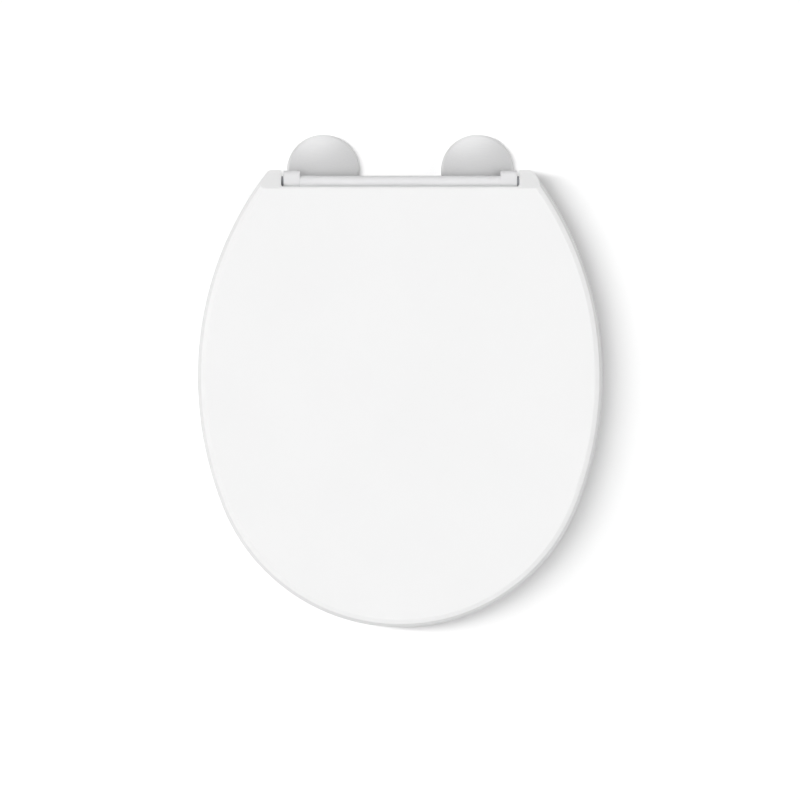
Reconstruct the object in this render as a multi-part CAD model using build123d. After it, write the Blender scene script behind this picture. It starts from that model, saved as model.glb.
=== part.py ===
from build123d import *
import os
from math import atan2, cos, degrees, hypot, radians, sin, sqrt

# Toilet seat with lid on a bar hinge, in millimetres.
# The origin is midway between the two fixing bolts, on the rim of the pan. The front points to -Y.

# Fixing to the pan
bolt_pitch = 140.0  # between the two fixing bolts
pan_thickness = 18.0  # ceramic between the sealing pads and the rubber cones

# Plan of the lid, measured forwards from the bolt line
lid_width = 367.0
lid_front = 414.0
lid_widest = 186.0  # where the lid is widest
lid_rear_radius = 304.0  # of the side arcs that run back from the widest place
lid_rear = 0.7  # the ears end this far behind the bolt line
nose_taper = 10.5  # the front arc's radius is this much less than half the width
ear_corner_radius = 5.0
overrun = 30.0  # the bevelled outline is drawn this far past the ears before they are cut straight

# Section of the lid
lid_panel = 4.5
lid_skirt = 4.5
lid_gap = 2.0  # from the ring's crest to the lower edge of the lid
panel_over_axis = 9.8  # underside of the lid's panel above the hinge axis
bevel_width = 4.0  # flat bevel round the top
bevel_drop = 1.8
edge_width = 2.7  # steep band outside the bevel
edge_drop = 5.4
crown_round = 3.0  # where the flat top meets the bevel
crease_round = 1.2  # where the bevel meets the steep band
shoulder_round = 4.0  # where the steep band meets the upright wall
rear_round = 2.0  # along the panel's rear edge, between the ears
run_clear = 0.15  # the cutters' profiles leave the faces that they meet by this much
facet_start = 6.1  # the rear facet starts this far in front of the hinge axis
facet_drop = 13.2

# Hinge line
hinge_setback = 10.0  # axis in front of the bolt line
hinge_rise = 8.0  # axis above the ring's crest
rod_diameter = 6.0
tube_diameter = 11.2
tube_end_gap = 0.06
bush_wall = 0.95
running_clearance = 0.06
seat_clearance = 0.05

# Ears of the lid, on the hinge axis
ear_width = 19.3
ear_reach = 12.0  # solid part of the ear in front of the axis
ear_gap = 2.2  # between ear and knuckle
ear_bush_length = 11.0
ear_plug_gap = 0.3
washer_play = 0.2  # each side of the hinge washer, in the gap between ear and knuckle
hinge_washer_diameter = 10.4
notch_ahead = 4.4  # the notch between the ears starts this far in front of the axis
notch_corner_radius = 2.5

# Knuckles of the ring
knuckle_width = 14.7
knuckle_front = 5.65  # in front of the axis
knuckle_rear = 10.2  # behind the axis
knuckle_top = 5.75  # above the axis
knuckle_under = 6.0  # below the axis
knuckle_round = 5.0  # along the top's front and rear edges
knuckle_heel = 3.0  # the rear face ends this far below the axis
knuckle_corner_radius = 4.0  # upright, in front of the ear's inner face
neck_depth = 8.0  # thickness of the neck that joins a knuckle to the ring

# Ring
ring_inset = 2.0  # the ring's outline lies this far inside the lid's
ring_height = 17.0
ring_tuck = 12.0  # rear edge of the ring in front of the hinge axis
ring_corner_radius = 14.0
ring_side = 70.0  # width of the ring at its sides
ring_nose = 68.0  # width of the ring at the front
ring_tail = 62.0  # width of the ring at the rear
ring_wall = 4.5
ring_roof = 5.0
ring_outer_round = 9.0
opening_ahead_of_widest = 16.0  # the opening is widest this far in front of the lid's widest place
lip_width = 14.0
lip_drop = 3.0
lip_round = 4.0
same_height = 0.01  # edges within this much of a height are taken as lying on it
rib_thickness = 3.0
rib_count = 24

# Buffers
buffer_height = 6.0
buffer_length = 36.0
buffer_width = 14.0
buffer_round = 1.5
buffer_boss_margin = 2.5
buffer_stem_diameter = 6.0
buffer_stem_length = 7.0
ring_buffer_angles = {"front": -52.0, "rear": 36.0}  # from +X about the middle of the opening
lid_buffer_angles = {"front": -66.0, "rear": 16.0}
lid_buffer_diameter = 14.0
lid_boss_depth = 12.0
rest_gap = 0.3

# Cover discs and brackets
disc_diameter = 66.0
disc_sheet = 1.2
disc_rim_height = 4.6
disc_rim_gap = 0.4  # from the pan to the rim
disc_bevel_width = 1.8
disc_bevel_drop = 1.2
disc_crown = 4.0  # rise of the dome above the bevel
plate_thickness = 3.5
plate_fit = 0.2
plate_edge_round = 0.8
pad_thickness = 1.5
pad_margin = 2.0  # the pad is this much smaller in radius than the plate
pillar_width = 14.0
pillar_depth = 5.6
pillar_shift = 1.0  # the pillar and its screw stand this far in front of the hinge axis
pillar_foot = 4.2  # the pillar's foot reaches this much further forwards
pillar_waist = 9.0  # the foot starts to widen this far below the hinge axis
pillar_round = 2.0
slot_clearance = 0.4
relief_clearance = 1.5  # round the cover discs, in the underside of the ring

# Bolts and what is on them
bolt_diameter = 6.0
thread_diameter = 5.35  # pitch diameter of the thread
bolt_head_diameter = 11.6
bolt_head_height = 2.6
bolt_head_round = 1.4
neck_square = 6.0
neck_slot_clearance = 0.4
slot_travel = 8.0  # sideways adjustment of the bolt in the bracket
plain_shank = 9.0
bolt_reach = 60.0  # tip below the rim of the pan
bolt_tip_bevel = 0.8
cone_plug_diameter = 13.0
cone_root_diameter = 15.0
cone_plug_height = 6.0
cone_flange_diameter = 26.0
cone_flange_height = 4.0
washer_diameter = 24.0
washer_thickness = 1.5
washer_clearance = 0.3
nut_hub_diameter = 15.0
nut_height = 13.0
nut_collar_diameter = 20.0
nut_collar_height = 2.5
wing_span = 42.0
wing_thickness = 3.2
wing_rise = 5.0  # wings hang below the hub by this much
wing_round = 4.0

# Screws that hold the bar
screw_diameter = 3.0
screw_thread_diameter = 2.65  # pitch diameter of the thread
screw_head_diameter = 5.5
screw_head_height = 2.2
screw_socket = 2.0  # hexagon, across flats
screw_socket_depth = 1.2
screw_clearance = 0.2
screw_depth_past_axis = 0.8
screw_recess = 2.7

# Heights that follow
ring_bottom = buffer_height
ring_top = ring_bottom + ring_height
axis_z = ring_top + hinge_rise
skirt_bottom = ring_top + lid_gap
panel_bottom = axis_z + panel_over_axis
lid_top = panel_bottom + lid_panel
plate_top = pad_thickness + plate_thickness
disc_rim_top = disc_rim_gap + disc_rim_height
disc_top = disc_rim_top + disc_bevel_drop + disc_crown

# Places in plan that follow
axis_y = -hinge_setback
screw_y = axis_y - pillar_shift
widest_y = -lid_widest
front_y = -lid_front
ring_rear_y = axis_y - ring_tuck
bolt_x = bolt_pitch / 2


def half_width_at(y, inset):
    """Half width of the lid's plan behind its widest place, moved inwards by inset."""
    radius = lid_rear_radius - inset
    return lid_width / 2 - lid_rear_radius + sqrt(radius**2 - (y - widest_y) ** 2)


notch_half = half_width_at(axis_y, 0) - ear_width
knuckle_outer = notch_half - ear_gap
knuckle_inner = knuckle_outer - knuckle_width
bush_radius = rod_diameter / 2 + running_clearance + bush_wall
sides = {"left": -1, "right": 1}


def arc(centre, radius, start, end):
    """The shorter arc between two points of a circle."""
    x = start[0] + end[0] - 2 * centre[0]
    y = start[1] + end[1] - 2 * centre[1]
    scale = radius / hypot(x, y)
    return ThreePointArc(start, (centre[0] + x * scale, centre[1] + y * scale), end)


def mirrored(point):
    return (-point[0], point[1])


def end_arcs(half, wide_y, tip_y, end_radius):
    """One end of an egg shape: side arc, end arc and side arc, all tangent, from +X to -X."""
    end_y = tip_y + end_radius if tip_y < wide_y else tip_y - end_radius
    reach = end_y - wide_y
    side_radius = (half**2 + reach**2 - end_radius**2) / (2 * (half - end_radius))
    side_x = half - side_radius
    share = end_radius / (side_radius - end_radius)
    touch = (-side_x * share, end_y + reach * share)
    wide = (half, wide_y)
    return [
        arc((side_x, wide_y), side_radius, wide, touch),
        ThreePointArc(touch, (0, tip_y), mirrored(touch)),
        arc((-side_x, wide_y), side_radius, mirrored(touch), mirrored(wide)),
    ]


def lid_plan(inset, rear_y, corner):
    """Outline of the lid moved inwards by inset and cut straight at rear_y."""
    half = lid_width / 2 - inset
    radius = lid_rear_radius - inset
    centre = (lid_width / 2 - lid_rear_radius, widest_y)
    wide = (half, widest_y)
    rear = (half_width_at(rear_y, inset), rear_y)
    edges = end_arcs(half, widest_y, front_y + inset, half - nose_taper)
    edges.append(arc(mirrored(centre), radius, mirrored(wide), mirrored(rear)))
    edges.append(Line(mirrored(rear), rear))
    edges.append(arc(centre, radius, rear, wide))
    plan = make_face(edges)
    if corner:
        plan = fillet(plan.vertices().group_by(Axis.Y)[-1], corner)
    return plan


opening_front_y = front_y + ring_inset + ring_nose
opening_rear_y = ring_rear_y - ring_tail
opening_wide_y = widest_y - opening_ahead_of_widest
opening_half = lid_width / 2 - ring_inset - ring_side
opening_front_radius = opening_half**2 / (opening_wide_y - opening_front_y)  # as at an ellipse's tip
opening_rear_radius = opening_half**2 / (opening_rear_y - opening_wide_y)
middle_y = (opening_front_y + opening_rear_y) / 2


def opening_plan(outset):
    """Outline of the ring's opening moved outwards by outset."""
    half = opening_half + outset
    front_tip = opening_front_y - outset
    rear_tip = opening_rear_y + outset
    front = end_arcs(half, opening_wide_y, front_tip, opening_front_radius + outset)
    rear = end_arcs(half, opening_wide_y, rear_tip, opening_rear_radius + outset)
    return make_face(front + rear)


def rounded(points, radii):
    """A face with these corners, the first of them rounded by the radii."""
    face = make_face(Polyline(*points, close=True))
    for point, radius in zip(points, radii):
        face = fillet(face.vertices().sort_by_distance(point)[0], radius)
    return face


def prism(plan, bottom, top):
    return Pos(0, 0, bottom) * extrude(plan, top - bottom)


def across(profile, start_x, end_x):
    """A (y, z) profile drawn about the hinge axis, extruded along X."""
    plane = Plane(origin=(start_x, axis_y, axis_z), x_dir=(0, 1, 0), z_dir=(1, 0, 0))
    return extrude(plane * profile, end_x - start_x)


def rod_along_x(radius, start_x, end_x):
    return across(Circle(radius), start_x, end_x)


def turned(points, x, y):
    """A body turned about the vertical through (x, y), from (radius, height) points."""
    profile = Plane.XZ * make_face(Polyline(*points, close=True))
    return Pos(x, y, 0) * revolve(profile, Axis.Z)


def upright(radius, x, y, bottom, top):
    cylinder = Cylinder(radius, top - bottom, align=(Align.CENTER, Align.CENTER, Align.MIN))
    return Pos(x, y, bottom) * cylinder


def on_ring(angle):
    """The middle of the ring's width on a ray from the middle of the opening."""
    ring_plan = lid_plan(ring_inset, ring_rear_y, 0) - opening_plan(0)
    far = lid_width + lid_front
    tip = (far * cos(radians(angle)), middle_y + far * sin(radians(angle)))
    ray = Edge.make_line((0, middle_y), tip)
    span = ring_plan.faces()[0].intersect(ray)
    point = span.edges()[0] @ 0.5
    return point.X, point.Y


def buffer_places(angles):
    """Name and place of each buffer: every angle on the right, mirrored to the left."""
    places = {}
    for end, angle in angles.items():
        x, y = on_ring(angle)
        for side, sign in sides.items():
            places[f"{end}_{side}"] = (sign * x, y)
    return places


ring_buffers = buffer_places(ring_buffer_angles)
lid_buffers = buffer_places(lid_buffer_angles)


def stadium(x, y, margin):
    """A buffer's plan, lying along the ring."""
    plan = SlotOverall(buffer_length + 2 * margin, buffer_width + 2 * margin)
    turn = degrees(atan2(y - middle_y, x)) + 90
    return Pos(x, y, 0) * Rot(0, 0, turn) * plan


def knuckle():
    """Square knuckle and the neck that joins it to the ring, on the right side."""
    root = -(ring_tuck + ring_wall)
    neck_top = -hinge_rise - ring_outer_round / 2
    outline = rounded(
        [
            (knuckle_rear, knuckle_top),
            (-knuckle_front, knuckle_top),
            (-knuckle_front, -knuckle_under / 2),
            (root, neck_top),
            (root, neck_top - neck_depth),
            (knuckle_rear - knuckle_under, -knuckle_under - knuckle_heel),
            (knuckle_rear, -knuckle_heel),
        ],
        [knuckle_round, knuckle_round],
    )
    block = across(outline, knuckle_inner, knuckle_outer)
    side = knuckle_corner_radius
    corner = Rectangle(side, side, align=(Align.MAX, Align.MIN)) - Pos(-side, side) * Circle(side)
    corner = Pos(knuckle_outer, axis_y - knuckle_front) * corner
    return block - prism(corner, axis_z - knuckle_under, lid_top)


def seat_ring():
    body = prism(lid_plan(ring_inset, ring_rear_y, ring_corner_radius), ring_bottom, ring_top)
    top = body.faces().sort_by(Axis.Z)[-1]
    body = fillet(top.outer_wire().edges(), ring_outer_round)
    body -= prism(opening_plan(0), 0, lid_top)
    top = body.faces().filter_by(Axis.Z).sort_by(Axis.Z)[-1]
    lip = top.inner_wires()[0].edges()
    body = chamfer(lip, lip_width, lip_drop, reference=top)
    lip_z = ring_top - lip_drop
    lip_low = body.edges().filter_by_position(Axis.Z, lip_z - same_height, lip_z + same_height)
    body = fillet(lip_low, lip_round)

    hollow = lid_plan(ring_inset + ring_wall, ring_rear_y - ring_wall, 0) - opening_plan(ring_wall)
    cells = prism(hollow, ring_bottom, ring_top - ring_roof)
    reach = lid_width + lid_front
    rib = Box(reach, rib_thickness, lid_top, align=(Align.MIN, Align.CENTER, Align.MIN))
    for index in range(rib_count):
        cells -= Pos(0, middle_y, 0) * Rot(0, 0, (index + 0.5) * 360 / rib_count) * rib
    for x, y in ring_buffers.values():
        cells -= prism(stadium(x, y, buffer_boss_margin), 0, lid_top)
    body -= cells
    for sign in sides.values():
        relief = disc_diameter / 2 + relief_clearance
        body -= upright(relief, sign * bolt_x, 0, 0, disc_top + relief_clearance)

    right = knuckle()
    right -= rod_along_x(bush_radius, knuckle_inner - knuckle_width, knuckle_outer + knuckle_width)
    body += [right, mirror(right, Plane.YZ)]
    for x, y in ring_buffers.values():
        stem_top = ring_bottom + buffer_stem_length
        body -= upright(buffer_stem_diameter / 2, x, y, 0, stem_top)
    return body


def ring_buffer(x, y):
    pad = prism(stadium(x, y, 0), 0, buffer_height)
    pad = fillet(pad.faces().sort_by(Axis.Z)[0].edges(), buffer_round)
    stem_top = buffer_height + buffer_stem_length - rest_gap
    return pad + upright(buffer_stem_diameter / 2, x, y, buffer_height, stem_top)


def edge_cutter(top):
    """What the bevel and the steep band take off the lid, swept round its top face."""
    path = top.outer_wire()
    start = path @ 0
    outward = Vector(0, 0, 1).cross(path % 0)
    if outward.dot(start - top.center()) < 0:
        outward = -outward
    plane = Plane(origin=start, x_dir=outward, z_dir=outward.cross(Vector(0, 0, 1)))
    low = -bevel_drop - edge_drop
    inner = -edge_width - bevel_width
    profile = rounded(
        [
            (inner, 0),
            (-edge_width, -bevel_drop),
            (0, low),
            (run_clear, low - edge_drop),
            (edge_width, low - edge_drop),
            (edge_width, edge_width),
            (inner - bevel_width, edge_width),
            (inner - bevel_width, run_clear),
        ],
        [crown_round, crease_round, shoulder_round],
    )
    return sweep(plane * profile, path)


def lid():
    body = prism(lid_plan(0, lid_rear + overrun, overrun), skirt_bottom, lid_top)
    top = body.faces().sort_by(Axis.Z)[-1]
    body -= edge_cutter(top)
    rear = Rectangle(2 * lid_width, lid_width, align=(Align.CENTER, Align.MIN))
    body -= prism(Pos(0, lid_rear) * rear, 0, 2 * lid_top)

    facet_run = hinge_setback + lid_rear + facet_start
    slope = facet_drop / facet_run
    beyond = 2 * facet_run
    wedge = make_face(
        Polyline(
            (-facet_start, lid_top - axis_z),
            (beyond - facet_start, lid_top - axis_z - beyond * slope),
            (beyond - facet_start, lid_top),
            (-facet_start, lid_top),
            close=True,
        )
    )
    body -= across(wedge, -lid_width, lid_width)

    notch_y = axis_y - notch_ahead
    notch = Rectangle(2 * notch_half, lid_width, align=(Align.CENTER, Align.MIN))
    notch = fillet(notch.vertices(), notch_corner_radius)
    body -= prism(Pos(0, notch_y) * notch, 0, 2 * lid_top)
    crest = lid_top - axis_z
    rear_edge = rounded(
        [
            (-notch_ahead, crest),
            (run_clear - notch_ahead, crest - 2 * rear_round),
            (notch_ahead, crest - 2 * rear_round),
            (notch_ahead, lid_top),
            (-notch_ahead - 2 * rear_round, lid_top),
            (-notch_ahead - 2 * rear_round, crest + run_clear),
        ],
        [rear_round],
    )
    body -= across(rear_edge, -notch_half, notch_half)

    ear_front_y = axis_y - ear_reach
    hollow = lid_plan(lid_skirt, ear_front_y, 0)
    mouth = Rectangle(2 * notch_half, 2 * ear_reach)
    hollow += Pos(0, ear_front_y) * mouth
    hollow = prism(hollow, 0, panel_bottom)
    boss_radius = lid_buffer_diameter / 2 + buffer_boss_margin
    boss_bottom = panel_bottom - lid_boss_depth
    for x, y in lid_buffers.values():
        hollow -= upright(boss_radius, x, y, boss_bottom, panel_bottom)
    body -= hollow
    for x, y in lid_buffers.values():
        body -= upright(buffer_stem_diameter / 2, x, y, 0, boss_bottom + buffer_stem_length)
    body -= rod_along_x(bush_radius, -lid_width, lid_width)
    rear_corners = [
        edge
        for edge in body.edges().filter_by(Axis.Z)
        if edge.center().Y > axis_y + tube_diameter / 2 and abs(edge.center().X) > notch_half + ear_gap
    ]
    return fillet(rear_corners, ear_corner_radius)


def lid_buffer(x, y):
    boss_bottom = panel_bottom - lid_boss_depth
    foot = ring_top + rest_gap
    button = upright(lid_buffer_diameter / 2, x, y, foot, boss_bottom)
    button = fillet(button.edges().sort_by(Axis.Z)[0], buffer_round)
    stem_top = boss_bottom + buffer_stem_length - rest_gap
    return button + upright(buffer_stem_diameter / 2, x, y, boss_bottom, stem_top)


def bush(start_x, end_x):
    inner = rod_along_x(rod_diameter / 2 + running_clearance, start_x, end_x)
    return rod_along_x(bush_radius, start_x, end_x) - inner


def hinge_washer(start_x, end_x):
    hole = rod_along_x(rod_diameter / 2 + running_clearance, start_x, end_x)
    return rod_along_x(hinge_washer_diameter / 2, start_x, end_x) - hole


def ear_plug(sign):
    start = notch_half + ear_bush_length + ear_plug_gap
    plug = rod_along_x(bush_radius, start, lid_width / 2)
    plug &= prism(lid_plan(seat_clearance, lid_rear, 0), 0, lid_top)
    return plug if sign > 0 else mirror(plug, Plane.YZ)


def hinge_rod():
    half = notch_half + ear_bush_length
    rod = rod_along_x(rod_diameter / 2, -half, half)
    for sign in sides.values():
        top = axis_z + screw_depth_past_axis
        rod -= upright(screw_thread_diameter / 2, sign * bolt_x, screw_y, 0, top)
    return rod


def bar_tube():
    half = knuckle_inner - tube_end_gap
    tube = rod_along_x(tube_diameter / 2, -half, half)
    tube -= rod_along_x(rod_diameter / 2 + seat_clearance, -half, half)
    for sign in sides.values():
        hole_radius = screw_diameter / 2 + screw_clearance
        tube -= upright(hole_radius, sign * bolt_x, screw_y, 0, axis_z)
    return tube


def bolt_slot(x, bottom, top):
    width = neck_square + neck_slot_clearance
    return prism(Pos(x, 0) * SlotOverall(width * sqrt(2) + slot_travel, width), bottom, top)


def disc_inner_radius():
    return disc_diameter / 2 - disc_sheet


def hinge_bracket(x):
    radius = disc_inner_radius() - plate_fit
    plate = upright(radius, x, 0, pad_thickness, plate_top)
    plate = fillet(plate.edges().sort_by(Axis.Z)[-1], plate_edge_round)
    rear = pillar_depth / 2 - pillar_shift
    front = rear - pillar_depth
    foot = plate_top - axis_z
    profile = make_face(
        Polyline(
            (rear, foot),
            (rear, 0),
            (front, 0),
            (front, -pillar_waist),
            (front - pillar_foot, foot),
            close=True,
        )
    )
    pillar = across(profile, x - pillar_width / 2, x + pillar_width / 2)
    pillar = fillet(pillar.edges().filter_by(Axis.Z), pillar_round)
    body = plate + pillar
    body -= rod_along_x(tube_diameter / 2 + seat_clearance, x - pillar_width, x + pillar_width)
    body -= bolt_slot(x, 0, plate_top)
    body -= upright(screw_diameter / 2 + screw_clearance, x, screw_y, 0, axis_z)
    recess_radius = screw_head_diameter / 2 + screw_clearance
    body -= upright(recess_radius, x, screw_y, 0, pad_thickness + screw_recess)
    return body


def cover_disc(x):
    outer = disc_diameter / 2
    inner = disc_inner_radius()
    shoulder = disc_rim_top + disc_bevel_drop
    flat = outer - disc_bevel_width
    dome_radius = (flat**2 + disc_crown**2) / (2 * disc_crown)
    low = shoulder - disc_sheet
    shell = make_face(
        [
            Line((inner, disc_rim_gap), (outer, disc_rim_gap)),
            Line((outer, disc_rim_gap), (outer, disc_rim_top)),
            Line((outer, disc_rim_top), (flat, shoulder)),
            RadiusArc((flat, shoulder), (0, disc_top), -dome_radius),
            Line((0, disc_top), (0, disc_top - disc_sheet)),
            RadiusArc((0, disc_top - disc_sheet), (inner, low), dome_radius),
            Line((inner, low), (inner, disc_rim_gap)),
        ]
    )
    cover = Pos(x, 0, 0) * revolve(Plane.XZ * shell, Axis.Z)
    gap_width = pillar_width + 2 * slot_clearance
    gap_rear = screw_y + pillar_depth / 2 + slot_clearance
    gap = Rectangle(gap_width, disc_diameter, align=(Align.CENTER, Align.MAX))
    return cover - prism(Pos(x, gap_rear) * gap, 0, axis_z)


def sealing_pad(x):
    radius = disc_inner_radius() - plate_fit - pad_margin
    pad = upright(radius, x, 0, 0, pad_thickness)
    return pad - bolt_slot(x, 0, pad_thickness)


def fixing_bolt(x):
    head = upright(bolt_head_diameter / 2, x, 0, plate_top, plate_top + bolt_head_height)
    head = fillet(head.edges().sort_by(Axis.Z)[-1], bolt_head_round)
    neck = prism(Pos(x, 0) * Rectangle(neck_square, neck_square), 0, plate_top)
    shank = upright(bolt_diameter / 2, x, 0, -plain_shank, 0)
    thread = upright(thread_diameter / 2, x, 0, -bolt_reach, -plain_shank)
    thread = chamfer(thread.edges().sort_by(Axis.Z)[0], bolt_tip_bevel)
    return head + neck + shank + thread


def rubber_cone(x):
    bore = thread_diameter / 2 + seat_clearance
    plug_top = cone_plug_height - pan_thickness
    return turned(
        [
            (bore, plug_top),
            (cone_plug_diameter / 2, plug_top),
            (cone_root_diameter / 2, -pan_thickness),
            (cone_flange_diameter / 2, -pan_thickness),
            (cone_flange_diameter / 2, -pan_thickness - cone_flange_height),
            (bore, -pan_thickness - cone_flange_height),
        ],
        x,
        0,
    )


def flat_washer(x):
    top = -pan_thickness - cone_flange_height
    washer = upright(washer_diameter / 2, x, 0, top - washer_thickness, top)
    hole = thread_diameter / 2 + washer_clearance
    return washer - upright(hole, x, 0, top - washer_thickness, top)


def wing_nut(x):
    top = -pan_thickness - cone_flange_height - washer_thickness
    hub = upright(nut_hub_diameter / 2, x, 0, top - nut_height, top)
    collar = upright(nut_collar_diameter / 2, x, 0, top - nut_collar_height, top)
    half = wing_span / 2
    low = -nut_height - wing_rise
    wings = make_face(
        Polyline(
            (-half, low),
            (half, low),
            (half, -nut_collar_height - wing_rise),
            (nut_collar_diameter / 2, -nut_collar_height),
            (-nut_collar_diameter / 2, -nut_collar_height),
            (-half, -nut_collar_height - wing_rise),
            close=True,
        )
    )
    outer = wings.vertices().sort_by(Axis.X)
    wings = fillet(outer[:2] + outer[-2:], wing_round)
    gap = Pos(0, low) * Rectangle(nut_hub_diameter, wing_rise, align=(Align.CENTER, Align.MIN))
    wings -= gap
    plane = Plane(origin=(x, -wing_thickness / 2, top), x_dir=(1, 0, 0), z_dir=(0, -1, 0))
    blade = extrude(plane * wings, -wing_thickness)
    nut = hub + collar + blade
    return nut - upright(thread_diameter / 2 + seat_clearance, x, 0, top - nut_height, top)


def bar_screw(x):
    seat = pad_thickness + screw_recess
    low = seat - screw_head_height
    head = upright(screw_head_diameter / 2, x, screw_y, low, seat)
    socket = Pos(x, screw_y) * RegularPolygon(screw_socket / 2, 6, major_radius=False)
    head -= prism(socket, low, low + screw_socket_depth)
    tip = axis_z + screw_depth_past_axis - rest_gap
    return head + upright(screw_thread_diameter / 2, x, screw_y, seat, tip)


os.makedirs("parts", exist_ok=True)


def save(name, shape):
    export_step(shape, f"parts/{name}.step")


save("seat_ring", seat_ring())
save("lid", lid())
save("hinge_rod", hinge_rod())
save("bar_tube", bar_tube())
for name, place in ring_buffers.items():
    save(f"ring_buffer_{name}", ring_buffer(*place))
for name, place in lid_buffers.items():
    save(f"lid_buffer_{name}", lid_buffer(*place))
for side, sign in sides.items():
    x = sign * bolt_x
    inner, outer = sorted((sign * knuckle_inner, sign * knuckle_outer))
    save(f"knuckle_bush_{side}", bush(inner, outer))
    inner, outer = sorted((sign * notch_half, sign * (notch_half + ear_bush_length)))
    save(f"ear_bush_{side}", bush(inner, outer))
    inner, outer = sorted((sign * (knuckle_outer + washer_play), sign * (notch_half - washer_play)))
    save(f"hinge_washer_{side}", hinge_washer(inner, outer))
    save(f"ear_plug_{side}", ear_plug(sign))
    save(f"hinge_bracket_{side}", hinge_bracket(x))
    save(f"bar_screw_{side}", bar_screw(x))
    save(f"cover_disc_{side}", cover_disc(x))
    save(f"sealing_pad_{side}", sealing_pad(x))
    save(f"fixing_bolt_{side}", fixing_bolt(x))
    save(f"rubber_cone_{side}", rubber_cone(x))
    save(f"flat_washer_{side}", flat_washer(x))
    save(f"wing_nut_{side}", wing_nut(x))
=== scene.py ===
import math
import bpy
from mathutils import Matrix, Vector


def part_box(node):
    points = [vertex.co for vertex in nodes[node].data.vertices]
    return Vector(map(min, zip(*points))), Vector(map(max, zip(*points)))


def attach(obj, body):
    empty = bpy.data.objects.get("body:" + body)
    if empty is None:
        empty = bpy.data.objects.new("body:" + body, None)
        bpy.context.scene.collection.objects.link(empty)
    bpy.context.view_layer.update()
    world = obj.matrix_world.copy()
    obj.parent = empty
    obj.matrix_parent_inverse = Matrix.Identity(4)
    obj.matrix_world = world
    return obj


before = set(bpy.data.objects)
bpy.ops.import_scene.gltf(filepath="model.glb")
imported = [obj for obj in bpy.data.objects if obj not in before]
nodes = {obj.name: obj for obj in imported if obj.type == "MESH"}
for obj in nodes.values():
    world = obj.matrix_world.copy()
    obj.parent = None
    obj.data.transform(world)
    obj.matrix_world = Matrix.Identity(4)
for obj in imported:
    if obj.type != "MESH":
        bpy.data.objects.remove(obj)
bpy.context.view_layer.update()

mm = 0.001
print("frame loaded:", len(nodes), "nodes")


def linear(hexColour):  # sRGB hex to the linear colour that the shader takes
    parts = [int(hexColour[i:i + 2], 16) / 255 for i in (1, 3, 5)]
    return [p / 12.92 if p <= 0.04045 else ((p + 0.055) / 1.055) ** 2.4 for p in parts] + [1.0]


def addNode(tree, kind, settings, links):  # one node, its settings, and what feeds its inputs
    node = tree.nodes.new(kind)
    for name, value in settings.items():
        if isinstance(name, int) or name in node.inputs:
            node.inputs[name].default_value = value
        else:
            setattr(node, name, value)
    for name, source in links.items():
        tree.links.new(source, node.inputs[name])
    return node


def newMaterial(name):
    material = bpy.data.materials.new(name)
    material.use_nodes = True
    tree = material.node_tree
    tree.nodes.clear()
    return material, tree


def seenRays(tree):  # 1 where the eye meets a thing straight, in a reflection or through glass
    path = addNode(tree, "ShaderNodeLightPath", {}, {})
    mirrored = path.outputs["Is Glossy Ray"]
    either = addNode(tree, "ShaderNodeMath", {"operation": "MAXIMUM"}, {
        0: path.outputs["Is Camera Ray"], 1: mirrored})
    seen = addNode(tree, "ShaderNodeMath", {"operation": "MAXIMUM"}, {
        0: either.outputs[0], 1: path.outputs["Is Transmission Ray"]})
    return seen.outputs[0], mirrored


def selectCorners(piece, test):  # picks the corners whose place passes the test, in edit mode
    bpy.ops.mesh.select_mode(type="VERT")
    bpy.ops.mesh.select_all(action="DESELECT")
    bpy.ops.object.mode_set(mode="OBJECT")
    for corner in piece.data.vertices:
        corner.select = test(corner.co)
    bpy.ops.object.mode_set(mode="EDIT")


# Camera: straight above, far off, as the picture shows no perspective
cameraSet = {
    "height": 20.0,
    "sharpPlane": 0.035,  # height at which the picture's scale holds
    "frameWidth": 0.7258,  # metres across the 800 pixel picture
    "centre": (-0.0002, -0.208),
    "sensor": 36.0,
}


def makeCamera():
    data = bpy.data.cameras.new("studioCamera")
    data.sensor_width = cameraSet["sensor"]
    reach = cameraSet["height"] - cameraSet["sharpPlane"]
    data.lens = cameraSet["sensor"] * reach / cameraSet["frameWidth"]
    data.clip_end = 2 * cameraSet["height"]
    camera = bpy.data.objects.new("studioCamera", data)
    camera.location = (*cameraSet["centre"], cameraSet["height"])
    bpy.context.scene.collection.objects.link(camera)
    bpy.context.scene.camera = camera


# Light: a narrow lamp overhead, a strip of lamps that leans away to the left and throws the shadow
# to the right, weak fills from right, front and rear, a little from all round, and two panels, behind
# the hinge and on the left, that only show as a sheen
lightSet = {
    "overhead": {"share": 0.182, "lean": 0.0, "turn": 0.0, "spread": 3.0},
    "strip": {4: 0.05, 11: 0.09, 18: 0.10, 25: 0.09, 33: 0.09, 41: 0.07, 50: 0.07},  # lean: share
    "stripTurn": 10.0,
    "stripSpread": 7.0,
    "rightFill": {"share": 0.07, "lean": 65.0, "turn": 180.0, "spread": 20.0},
    "frontFill": {"share": 0.06, "lean": 50.0, "turn": -90.0, "spread": 50.0},
    "rearFill": {"share": 0.008, "lean": 76.0, "turn": 90.0, "spread": 30.0},
    "rearSheen": {"share": 0.085, "lean": 45.0, "turn": 76.0, "spread": 54.0},
    "leftSheen": {"share": 0.017, "lean": 62.0, "turn": 5.0, "spread": 36.0},
    "around": 0.13,
    "colour": "#ffffff",  # of the surroundings
    "mirrored": 0.83,  # how white they are in a reflection, so that a gloss seen low doesn't clip
}


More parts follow.
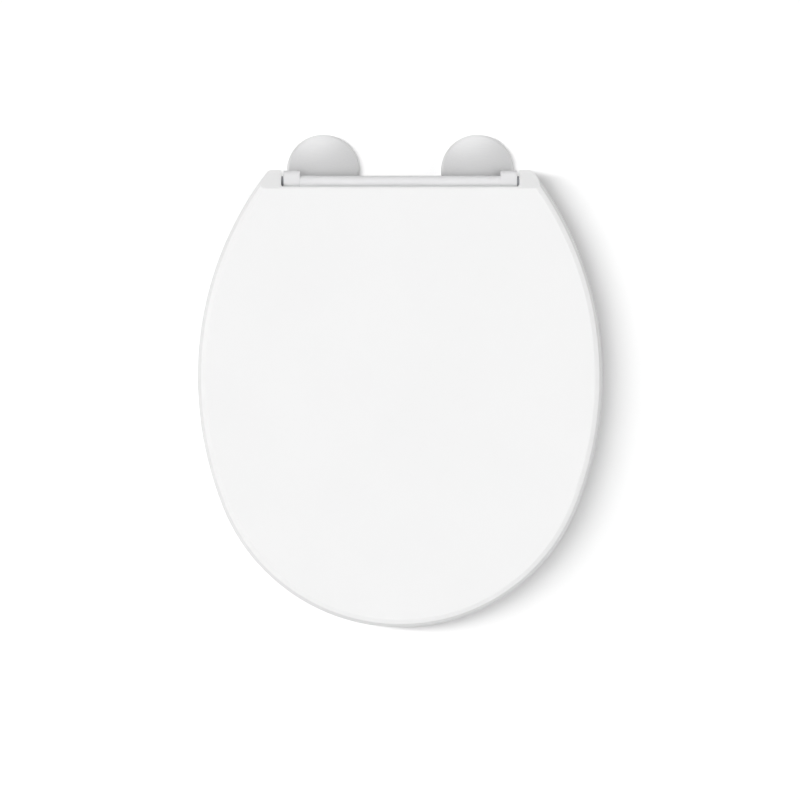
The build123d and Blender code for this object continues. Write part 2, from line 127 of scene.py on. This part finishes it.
def makeLamp(name, share, lean, turn, spread):
    # share of the light on a level surface; degrees from straight down, and from left towards the hinge
    data = bpy.data.lights.new(name, "SUN")
    data.energy = share * math.pi / math.cos(math.radians(lean))
    data.angle = math.radians(spread)
    lamp = bpy.data.objects.new(name, data)
    across = math.sin(math.radians(lean))
    towards = Vector((
        -across * math.cos(math.radians(turn)),
        across * math.sin(math.radians(turn)),
        math.cos(math.radians(lean)),
    ))
    lamp.rotation_euler = towards.to_track_quat("Z", "Y").to_euler()
    bpy.context.scene.collection.objects.link(lamp)
    return lamp


def makeLights():
    for lean, share in lightSet["strip"].items():
        lamp = makeLamp("stripLamp", share, lean, lightSet["stripTurn"], lightSet["stripSpread"])
        lamp.visible_glossy = False
    for name in ("overhead", "rightFill", "frontFill", "rearFill"):
        makeLamp(name, **lightSet[name]).visible_glossy = False
    for name in ("rearSheen", "leftSheen"):
        makeLamp(name, **lightSet[name]).visible_diffuse = False


def makeWorld():
    world = bpy.data.worlds.new("studio")
    bpy.context.scene.world = world
    world.use_nodes = True
    tree = world.node_tree
    tree.nodes.clear()
    seen, mirrored = seenRays(tree)
    white = addNode(tree, "ShaderNodeMapRange", {"To Min": 1.0, "To Max": lightSet["mirrored"]}, {
        "Value": mirrored})
    colour = linear(lightSet["colour"])
    around = addNode(tree, "ShaderNodeBackground", {"Color": colour, "Strength": lightSet["around"]}, {})
    backdrop = addNode(tree, "ShaderNodeBackground", {"Color": colour}, {"Strength": white.outputs[0]})
    mix = addNode(tree, "ShaderNodeMixShader", {}, {
        0: seen, 1: around.outputs[0], 2: backdrop.outputs[0]})
    addNode(tree, "ShaderNodeOutputWorld", {}, {"Surface": mix.outputs[0]})


# Floor: pale paper, level with the rim of the pan that the seat rests on, seen as pure white; behind
# the hinge it falls away, as a pan's rim ends there and the lid can fold back past level
floorSet = {
    "size": 80.0,
    "height": 0.0,
    "bend": 0.045,  # metres behind the bolts
    "fall": 12.0,  # degrees
    "paper": "#d8d8d8",  # what the light bounces off
    "seen": "#ffffff",  # what the eye meets
    "lift": 0.05,  # a glow that hides the fills' own faint shadows
}


def makeFloor():
    bend = floorSet["bend"]
    drop = (floorSet["size"] / 2 - bend) * math.tan(math.radians(floorSet["fall"]))
    bpy.ops.object.select_all(action="DESELECT")
    bpy.ops.mesh.primitive_plane_add(size=floorSet["size"], location=(0, 0, floorSet["height"]))
    floor = bpy.context.object
    floor.name = "studioFloor"
    bpy.ops.object.mode_set(mode="EDIT")
    bpy.ops.mesh.select_all(action="SELECT")
    bpy.ops.mesh.bisect(plane_co=(0, bend, floorSet["height"]), plane_no=(0, 1, 0))
    selectCorners(floor, lambda place: place.y > bend + mm)
    bpy.ops.transform.translate(value=(0, 0, -drop))
    bpy.ops.object.mode_set(mode="OBJECT")
    material, tree = newMaterial("pale studio paper")
    seen = seenRays(tree)[0]
    lift = addNode(tree, "ShaderNodeMath", {"operation": "MULTIPLY", 1: floorSet["lift"]}, {0: seen})
    colour = addNode(tree, "ShaderNodeMix", {
        "data_type": "RGBA", 6: linear(floorSet["paper"]), 7: linear(floorSet["seen"]),
    }, {0: seen})
    paper = addNode(tree, "ShaderNodeBsdfDiffuse", {}, {"Color": colour.outputs[2]})
    glow = addNode(tree, "ShaderNodeEmission", {}, {"Strength": lift.outputs[0]})
    both = addNode(tree, "ShaderNodeAddShader", {}, {0: paper.outputs[0], 1: glow.outputs[0]})
    addNode(tree, "ShaderNodeOutputMaterial", {}, {"Surface": both.outputs[0]})
    floor.data.materials.append(material)


# What every finish shares: one pattern varies its colour and gloss, and a fine relief breaks the light
noiseBand = (0.3, 0.7)  # nearly all of a noise lies between these


def surface(tree, setting, pattern, relief, depth, substance):  # depth in mm
    colour = addNode(tree, "ShaderNodeMix", {
        "data_type": "RGBA", 6: linear(setting["pale"]), 7: linear(setting["deep"]),
    }, {0: pattern.outputs[0]})
    gloss = addNode(tree, "ShaderNodeMapRange", {
        "From Min": noiseBand[0], "From Max": noiseBand[1],
        "To Min": setting["roughness"][0], "To Max": setting["roughness"][1],
    }, {"Value": pattern.outputs[0]})
    bump = addNode(tree, "ShaderNodeBump", {"Strength": 1.0, "Distance": depth * mm}, {
        "Height": relief.outputs[0]})
    shader = addNode(tree, "ShaderNodeBsdfPrincipled", substance, {
        "Base Color": colour.outputs[2], "Roughness": gloss.outputs[0], "Normal": bump.outputs[0]})
    addNode(tree, "ShaderNodeOutputMaterial", {}, {"Surface": shader.outputs[0]})


# Urea resin pressed in a polished mould: an even white with a clear gloss, and a faint orange peel
# that only breaks up a reflection seen from close by; the bar is extruded and a little less glossy.
# The ring and the bar are drawn in darker whites than the lid: painted shade, for the shade they lie in
# at the hinge
mouldingSet = {
    "lid": {"pale": "#f6f6f6", "deep": "#f3f3f3", "roughness": (0.20, 0.27)},
    # painted shade: the ring is the lid's resin, drawn darker for the shade its knuckles lie in at the
    # hinge
    "ring": {"pale": "#e7e7e8", "deep": "#e4e4e5", "roughness": (0.20, 0.27)},
    # painted shade: the bar is drawn darker than the lid for the shade it lies in under the lid's edge;
    # its lower gloss is its own
    "bar": {"pale": "#eaeaeb", "deep": "#e7e7e8", "roughness": (0.26, 0.34)},
    "flow": 70.0,  # mm, clouds left by the powder as it flowed
    "peel": 2.2,  # mm, wave of the orange peel
    "peelDepth": 0.004,  # mm
    "index": 1.5,
}


def whiteMoulding(name, tone):
    material, tree = newMaterial(name)
    place = addNode(tree, "ShaderNodeTexCoord", {}, {})
    flow = addNode(tree, "ShaderNodeTexNoise", {
        "Scale": 1 / (mouldingSet["flow"] * mm), "Detail": 3.0, "Roughness": 0.45,
    }, {"Vector": place.outputs["Object"]})
    peel = addNode(tree, "ShaderNodeTexNoise", {
        "Scale": 1 / (mouldingSet["peel"] * mm), "Detail": 1.0,
    }, {"Vector": place.outputs["Object"]})
    surface(tree, tone, flow, peel, mouldingSet["peelDepth"], {"IOR": mouldingSet["index"]})
    return material


# Stainless sheet with a satin brushed face: grey with a soft wide sheen, drawn out along fine lines
satinSet = {
    "pale": "#e0e0e0",
    "deep": "#d7d7d8",
    "roughness": (0.34, 0.42),
    "lineWidth": 0.35,  # mm, real lines are finer; drawn so that they just show from close by
    "lineLength": 30.0,  # mm
    "lineDepth": 0.0015,  # mm
}


def satinSteel():
    material, tree = newMaterial("satin stainless steel")
    place = addNode(tree, "ShaderNodeTexCoord", {}, {})
    along = 1 / (satinSet["lineLength"] * mm)
    thin = 1 / (satinSet["lineWidth"] * mm)
    drawn = addNode(tree, "ShaderNodeMapping", {"Scale": (along, thin, thin)}, {
        "Vector": place.outputs["Object"]})
    lines = addNode(tree, "ShaderNodeTexNoise", {"Scale": 1.0, "Detail": 2.0}, {
        "Vector": drawn.outputs[0]})
    surface(tree, satinSet, lines, lines, satinSet["lineDepth"], {"Metallic": 1.0})
    return material


# Zinc-plated steel: cold grey, with cloudy patches where the bright plating took unevenly
platedSet = {
    "pale": "#c3c6ca",
    "deep": "#a6abb2",
    "roughness": (0.24, 0.40),
    "patch": 6.0,  # mm
    "grit": 0.5,  # mm
    "gritDepth": 0.003,  # mm
}

# Die-cast zinc: duller grey, with the fine grain of the die and darker flow streaks
castSet = {
    "pale": "#b2b3b5",
    "deep": "#96989b",
    "roughness": (0.42, 0.58),
    "patch": 9.0,  # mm
    "grit": 0.8,  # mm
    "gritDepth": 0.012,  # mm
}


def greyMetal(name, setting):
    material, tree = newMaterial(name)
    place = addNode(tree, "ShaderNodeTexCoord", {}, {})
    patch = addNode(tree, "ShaderNodeTexNoise", {
        "Scale": 1 / (setting["patch"] * mm), "Detail": 4.0, "Distortion": 0.6,
    }, {"Vector": place.outputs["Object"]})
    grit = addNode(tree, "ShaderNodeTexNoise", {
        "Scale": 1 / (setting["grit"] * mm), "Detail": 2.0,
    }, {"Vector": place.outputs["Object"]})
    surface(tree, setting, patch, grit, setting["gritDepth"], {"Metallic": 1.0})
    return material


# Cloud, grain and grain depth of the next four are in mm
# Moulded nylon: milky off-white, waxy, from a lightly sparked mould
nylonSet = {"pale": "#efece4", "deep": "#e2ded3", "roughness": (0.36, 0.50), "cloud": 5.0,
            "grain": 0.6, "grainDepth": 0.010, "index": 1.53}

# Grey acetal on the hinge rod's spacer washers: dense and slippery, with a low even sheen; their dark
# grey is also painted shade, standing in for the shaded gap between knuckle and ear
acetalAndGapShadeSet = {"pale": "#96979b", "deep": "#88898d", "roughness": (0.30, 0.42), "cloud": 4.0,
             "grain": 0.5, "grainDepth": 0.006, "index": 1.48}

# Soft elastomer: matt and slightly warm, finely grained so that it grips
bufferSet = {"pale": "#e4e3df", "deep": "#d7d5d0", "roughness": (0.58, 0.74), "cloud": 7.0,
             "grain": 0.9, "grainDepth": 0.025, "index": 1.49}

# Black rubber: dull, with a greyish bloom in patches and a coarse moulded grain
rubberSet = {"pale": "#2b2b2c", "deep": "#1b1b1c", "roughness": (0.62, 0.82), "cloud": 6.0,
             "grain": 1.1, "grainDepth": 0.035, "index": 1.52}


def mouldedPlastic(name, setting):
    material, tree = newMaterial(name)
    place = addNode(tree, "ShaderNodeTexCoord", {}, {})
    cloud = addNode(tree, "ShaderNodeTexNoise", {
        "Scale": 1 / (setting["cloud"] * mm), "Detail": 3.0,
    }, {"Vector": place.outputs["Object"]})
    grain = addNode(tree, "ShaderNodeTexVoronoi", {"Scale": 1 / (setting["grain"] * mm)}, {
        "Vector": place.outputs["Object"]})
    surface(tree, setting, cloud, grain, setting["grainDepth"], {"IOR": setting["index"]})
    return material


# Thread on the fixing bolts: one rolled ridge that winds round each plain core
threadSet = {
    "pitch": 1.0,  # mm, as on a 6 mm bolt
    "root": 2.55,  # mm from the axis, just under the core's surface
    "crest": 3.0,  # mm from the axis
    "rootWidth": 0.84,  # mm
    "crestWidth": 0.14,  # mm
    "turns": 49,
    "plainTip": 1.3,  # mm
    "steps": 24,  # faces to a turn
    "weld": 0.001,  # mm, corners nearer than this are one
    "smoothAngle": 30.0,  # degrees
}


def boltThreads(material):
    root = threadSet["root"] * mm
    crest = threadSet["crest"] * mm
    rootWidth = threadSet["rootWidth"] * mm
    low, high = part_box("fixing_bolt_left")
    start = low[2] + threadSet["plainTip"] * mm
    bpy.ops.object.select_all(action="DESELECT")
    bpy.ops.mesh.primitive_plane_add(size=1.0, location=(0, 0, 0), rotation=(math.pi / 2, 0, 0))
    ridge = bpy.context.object
    bpy.ops.object.transform_apply(location=False, rotation=True, scale=False)
    bpy.ops.object.mode_set(mode="EDIT")
    bpy.ops.mesh.select_all(action="SELECT")
    bpy.ops.transform.resize(value=(crest - root, 1, rootWidth), center_override=(0, 0, 0))
    bpy.ops.transform.translate(value=((crest + root) / 2, 0, start))
    selectCorners(ridge, lambda place: place.x > (crest + root) / 2)
    narrow = threadSet["crestWidth"] / threadSet["rootWidth"]
    bpy.ops.transform.resize(value=(1, 1, narrow), center_override=(crest, 0, start))
    bpy.ops.mesh.select_all(action="SELECT")
    bpy.ops.mesh.delete(type="ONLY_FACE")
    bpy.ops.object.mode_set(mode="OBJECT")
    bpy.ops.object.modifier_add(type="SCREW")
    winding = ridge.modifiers[-1]
    winding.screw_offset = threadSet["pitch"] * mm
    winding.iterations = threadSet["turns"]
    winding.steps = threadSet["steps"]
    winding.render_steps = threadSet["steps"]
    bpy.ops.object.modifier_apply(modifier=winding.name)
    bpy.ops.object.mode_set(mode="EDIT")
    bpy.ops.mesh.select_all(action="SELECT")
    bpy.ops.mesh.remove_doubles(threshold=threadSet["weld"] * mm)
    bpy.ops.mesh.fill_holes(sides=4)  # closes the ridge's two ends
    bpy.ops.mesh.select_all(action="SELECT")
    bpy.ops.mesh.normals_make_consistent(inside=False)
    bpy.ops.object.mode_set(mode="OBJECT")
    bpy.ops.object.shade_smooth_by_angle(angle=math.radians(threadSet["smoothAngle"]))
    ridge.data.materials.append(material)
    ridge.name = "bolt_thread_left"
    ridge.location.x = (low[0] + high[0]) / 2
    bpy.ops.object.duplicate(linked=False)
    other = bpy.context.object
    other.name = "bolt_thread_right"
    other.location.x = -ridge.location.x
    ridge.select_set(True)
    bpy.ops.object.transform_apply(location=True, rotation=False, scale=False)
    for thread in (ridge, other):
        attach(thread, "base")


makeCamera()
makeLights()
makeWorld()
makeFloor()
bpy.context.scene.view_settings.view_transform = "Standard"
print("camera, light and floor made")

finish = {
    "white_moulding": whiteMoulding("white urea resin", mouldingSet["lid"]),
    # the seat ring's darker white is painted shade
    "cool_white_moulding": whiteMoulding("urea resin darker as painted shade", mouldingSet["ring"]),
    "satin_steel": satinSteel(),
    "bright_steel": greyMetal("zinc-plated steel", platedSet),
    "cast_zinc": greyMetal("die-cast zinc", castSet),
    "nylon": mouldedPlastic("moulded nylon", nylonSet),
    "grey_acetal": mouldedPlastic("grey acetal and painted gap shade", acetalAndGapShadeSet),
    "soft_buffer": mouldedPlastic("soft elastomer", bufferSet),
    "black_rubber": mouldedPlastic("black rubber", rubberSet),
}
for piece in nodes.values():
    slot = piece.data.materials[0].name
    piece.data.materials[0] = finish[slot]
# the bar's darker white is painted shade
nodes["bar_tube"].data.materials[0] = whiteMoulding("extruded white bar with painted shade", mouldingSet["bar"])
print("finishes given to", len(nodes), "nodes")
boltThreads(finish["bright_steel"])
print("bolt threads wound")
